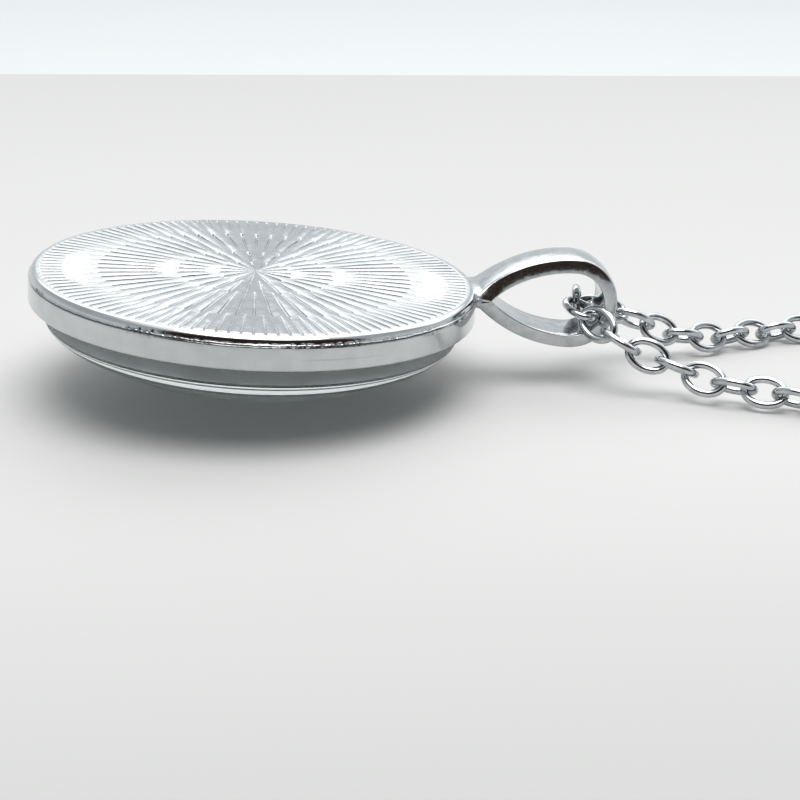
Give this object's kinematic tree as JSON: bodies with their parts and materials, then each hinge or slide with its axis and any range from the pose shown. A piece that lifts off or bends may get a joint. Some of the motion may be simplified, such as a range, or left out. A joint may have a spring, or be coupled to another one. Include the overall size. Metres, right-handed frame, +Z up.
{
  "type": "round glass picture pendant on a cable chain",
  "caption": "Round domed glass pendant in a silver tray with a rayed back and a fixed teardrop bail, on a closed oval link chain, lying face down.",
  "frame": {"origin": "the point where the glass dome touches the table", "axes": "+Z up from the table, +X from the pendant to its bail and along the chain's loop, +Y to the far side of the loop"},
  "size_m": [0.2108, 0.1116, 0.0082],
  "materials": {
    "silver_plate": "bright silver plate with fine casting marks",
    "glass": "clear polished",
    "picture_print": "printed picture in grey and blue",
    "chain_metal": "bright rolled wire"
  },
  "bodies": {
    "root": {"setting": "silver_plate", "glass_dome": "glass", "picture_disc": "picture_print", "chain_near": "chain_metal", "chain_far": "chain_metal", "clasp": "chain_metal"}
  },
  "joints": []
}
